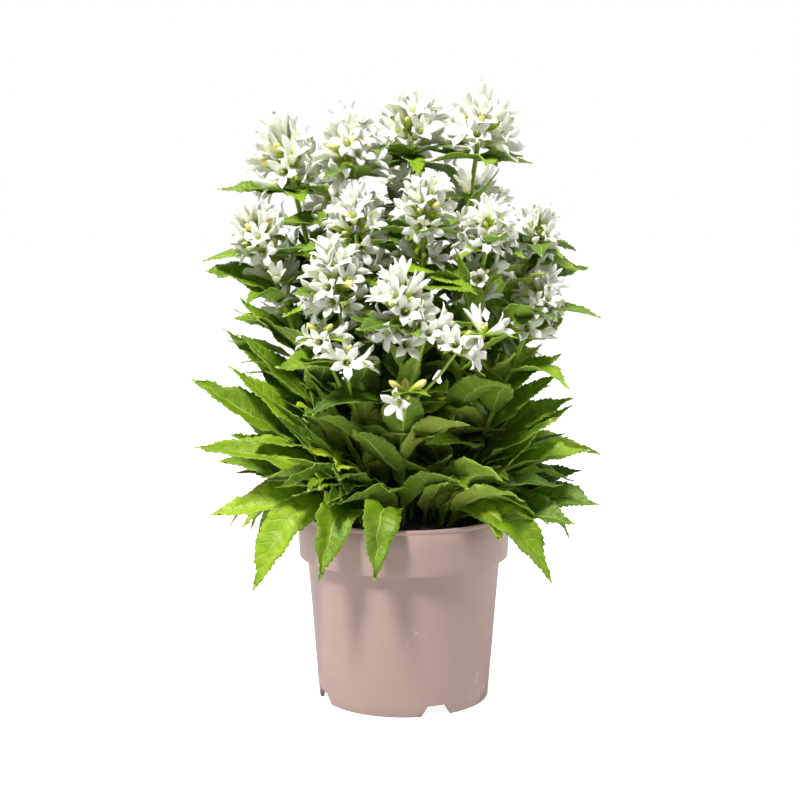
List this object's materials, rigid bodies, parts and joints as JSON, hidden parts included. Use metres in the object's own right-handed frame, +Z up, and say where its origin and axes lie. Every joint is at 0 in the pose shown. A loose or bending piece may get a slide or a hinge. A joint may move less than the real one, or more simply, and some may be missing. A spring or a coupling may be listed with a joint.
{
  "type": "potted clustered bellflower",
  "caption": "Leafy flowering perennial with upright stems and rounded clusters of white bells, in a round plastic nursery pot with a stepped rim band.",
  "frame": {"origin": "the middle of the pot's foot, on the surface that the pot stands on", "axes": "+Z straight up the pot's axis; -Y faces the side with the lowest flower heads; +X to that viewer's right"},
  "size_m": [0.3336, 0.2447, 0.4872],
  "materials": {
    "pot_plastic": "satin",
    "soil": "matte",
    "stem": "matte",
    "leaf": "matte",
    "petal": "matte"
  },
  "bodies": {
    "root": {"nursery_pot": "pot_plastic", "potting_soil": "soil", "stem_01": "stem", "stem_02": "stem", "stem_03": "stem", "stem_04": "stem", "stem_05": "stem", "stem_06": "stem", "stem_07": "stem", "stem_08": "stem", "stem_09": "stem", "stem_10": "stem", "stem_11": "stem", "stem_12": "stem", "stem_13": "stem", "stem_14": "stem", "stem_15": "stem", "stem_16": "stem", "stem_17": "stem", "stem_18": "stem", "flower_head_01": "petal", "flower_head_02": "petal", "flower_head_03": "petal", "flower_head_04": "petal", "flower_head_05": "petal", "flower_head_06": "petal", "flower_head_07": "petal", "flower_head_08": "petal", "flower_head_09": "petal", "flower_head_10": "petal", "flower_head_11": "petal", "flower_head_12": "petal", "flower_head_13": "petal", "flower_head_14": "petal", "flower_head_15": "petal", "flower_head_16": "petal", "flower_head_17": "petal", "flower_head_18": "petal", "leaf_01": "leaf", "leaf_02": "leaf", "leaf_03": "leaf", "leaf_04": "leaf", "leaf_05": "leaf", "leaf_06": "leaf", "leaf_07": "leaf", "leaf_08": "leaf", "leaf_09": "leaf", "leaf_10": "leaf", "leaf_11": "leaf", "leaf_12": "leaf", "leaf_13": "leaf", "leaf_14": "leaf", "leaf_15": "leaf", "leaf_16": "leaf", "leaf_17": "leaf", "leaf_18": "leaf", "leaf_19": "leaf", "leaf_20": "leaf", "leaf_21": "leaf", "leaf_22": "leaf"}
  },
  "joints": []
}
